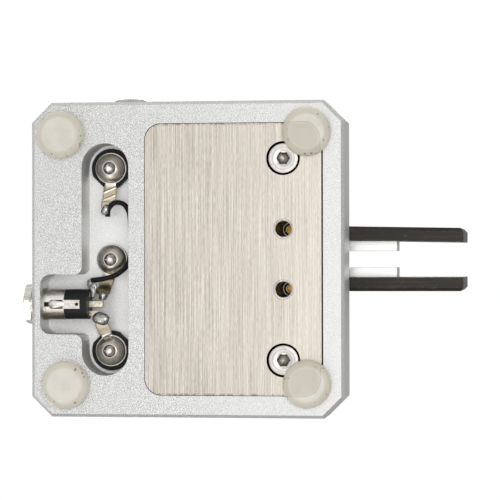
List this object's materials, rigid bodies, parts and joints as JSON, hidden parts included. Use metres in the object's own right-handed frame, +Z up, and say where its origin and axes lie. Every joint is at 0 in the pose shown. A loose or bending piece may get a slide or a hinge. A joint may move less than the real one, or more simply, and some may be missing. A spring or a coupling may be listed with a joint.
{
  "type": "telegraph paddle key",
  "caption": "Dual-lever telegraph key: square weighted base, ball-bearing levers with finger plates, adjustable contacts, magnetic return and a rear jack.",
  "frame": {"origin": "on the plane that the feet stand on, below the middle of the key's whole length, so 12.75 mm ahead of the base's centre", "axes": "+Z up, -Y to the front where the finger plates are, +X to the operator's right"},
  "size_m": [0.079, 0.1044, 0.0474],
  "materials": {
    "black_insulator": "moulded black",
    "black_wire": "soft black insulation",
    "blasted_aluminium": "bead-blasted, clear anodised",
    "brass": "turned",
    "brushed_stainless": "brushed across the key",
    "dark_nickel": "plated, tarnished",
    "finger_plate": "dark warm grey, satin",
    "machined_aluminium": "milled, satin",
    "magnet": "nickel-plated magnet",
    "nickel_plate": "bright nickel plate",
    "post_metal": "milled, satin nickel",
    "rubber": "translucent warm grey",
    "screw_steel": "turned heads, polished",
    "silver": "polished silver",
    "solder": "lead-tin solder, dull",
    "tinned_lug": "tinned brass, flux stained"
  },
  "bodies": {
    "key_frame": {"bare_wire_end": "solder", "base": "blasted_aluminium", "beam_screws": "screw_steel", "bearing_beam": "machined_aluminium", "bearing_sill": "machined_aluminium", "center_post": "post_metal", "center_solder_lug": "tinned_lug", "center_terminal_screw": "dark_nickel", "counterweight": "brushed_stainless", "counterweight_screws": "screw_steel", "jack_collar": "black_insulator", "jack_ground_strip": "nickel_plate", "jack_nut": "nickel_plate", "jack_shell": "nickel_plate", "jack_spring_contact": "nickel_plate", "jack_terminals": "tinned_lug", "jack_washer": "nickel_plate", "left_contact_post": "post_metal", "left_pillar": "machined_aluminium", "left_post_insulator": "black_insulator", "left_solder_lug": "tinned_lug", "left_terminal_screw": "dark_nickel", "left_terminal_washer": "black_insulator", "lower_pivot_screws": "brass", "pivot_lock_nuts": "brass", "post_locating_pins": "black_insulator", "right_contact_post": "post_metal", "right_pillar": "machined_aluminium", "right_post_insulator": "black_insulator", "right_solder_lug": "tinned_lug", "right_terminal_screw": "dark_nickel", "right_terminal_washer": "black_insulator", "rubber_feet": "rubber", "screw_lock_nuts": "nickel_plate", "signal_wire": "black_wire", "solder_joints": "solder", "stop_pin": "screw_steel", "upper_pivot_screws": "brass"},
    "left_paddle": {"left_lever": "machined_aluminium", "left_lever_bearings": "screw_steel", "left_lever_contact": "silver", "left_lever_magnet": "magnet", "left_finger_plate": "finger_plate", "left_finger_plate_screws": "screw_steel"},
    "left_contact_slide": {"left_contact_tip": "silver"},
    "left_contact_turner": {"left_contact_screw": "nickel_plate"},
    "left_tension_slide": {"left_tension_magnet": "magnet"},
    "left_tension_turner": {"left_tension_screw": "nickel_plate"},
    "right_paddle": {"right_lever": "machined_aluminium", "right_lever_bearings": "screw_steel", "right_lever_contact": "silver", "right_lever_magnet": "magnet", "right_finger_plate": "finger_plate", "right_finger_plate_screws": "screw_steel"},
    "right_contact_slide": {"right_contact_tip": "silver"},
    "right_contact_turner": {"right_contact_screw": "nickel_plate"},
    "right_tension_slide": {"right_tension_magnet": "magnet"},
    "right_tension_turner": {"right_tension_screw": "nickel_plate"}
  },
  "joints": [
    {"name": "left_paddle_press", "type": "hinge", "parent": "key_frame", "child": "left_paddle", "pos_m": [-0.00715, -0.01035, 0.0287], "axis": [0, 0, 1], "range_deg": [0, 1.85], "stiffness_Nm_per_rad": 0.35, "springref_deg": -1.72},
    {"name": "left_contact_travel", "type": "slide", "parent": "key_frame", "child": "left_contact_slide", "axis": [-1, 0, 0], "range_m": [0, 0.001]},
    {"name": "left_contact_turn", "type": "hinge", "parent": "left_contact_slide", "child": "left_contact_turner", "pos_m": [-0.03, 0.03085, 0.0287], "axis": [-1, 0, 0], "range_deg": [0, 720]},
    {"name": "left_tension_travel", "type": "slide", "parent": "key_frame", "child": "left_tension_slide", "axis": [-1, 0, 0], "range_m": [0, 0.001]},
    {"name": "left_tension_turn", "type": "hinge", "parent": "left_tension_slide", "child": "left_tension_turner", "pos_m": [-0.03, 0.01915, 0.0287], "axis": [-1, 0, 0], "range_deg": [0, 720]},
    {"name": "right_paddle_press", "type": "hinge", "parent": "key_frame", "child": "right_paddle", "pos_m": [0.00715, -0.01035, 0.0287], "axis": [0, 0, -1], "range_deg": [0, 0.5], "stiffness_Nm_per_rad": 0.35, "springref_deg": -1.72},
    {"name": "right_contact_travel", "type": "slide", "parent": "key_frame", "child": "right_contact_slide", "axis": [1, 0, 0], "range_m": [0, 0.001]},
    {"name": "right_contact_turn", "type": "hinge", "parent": "right_contact_slide", "child": "right_contact_turner", "pos_m": [0.03, 0.03085, 0.0287], "axis": [1, 0, 0], "range_deg": [0, 720]},
    {"name": "right_tension_travel", "type": "slide", "parent": "key_frame", "child": "right_tension_slide", "axis": [1, 0, 0], "range_m": [0, 0.001]},
    {"name": "right_tension_turn", "type": "hinge", "parent": "right_tension_slide", "child": "right_tension_turner", "pos_m": [0.03, 0.01915, 0.0287], "axis": [1, 0, 0], "range_deg": [0, 720]}
  ],
  "couplings": [
    {"joint": "left_contact_turn", "follows": "left_contact_travel", "rad_per_m": 12566},
    {"joint": "left_tension_turn", "follows": "left_tension_travel", "rad_per_m": 12566},
    {"joint": "right_contact_turn", "follows": "right_contact_travel", "rad_per_m": 12566},
    {"joint": "right_tension_turn", "follows": "right_tension_travel", "rad_per_m": 12566}
  ]
}
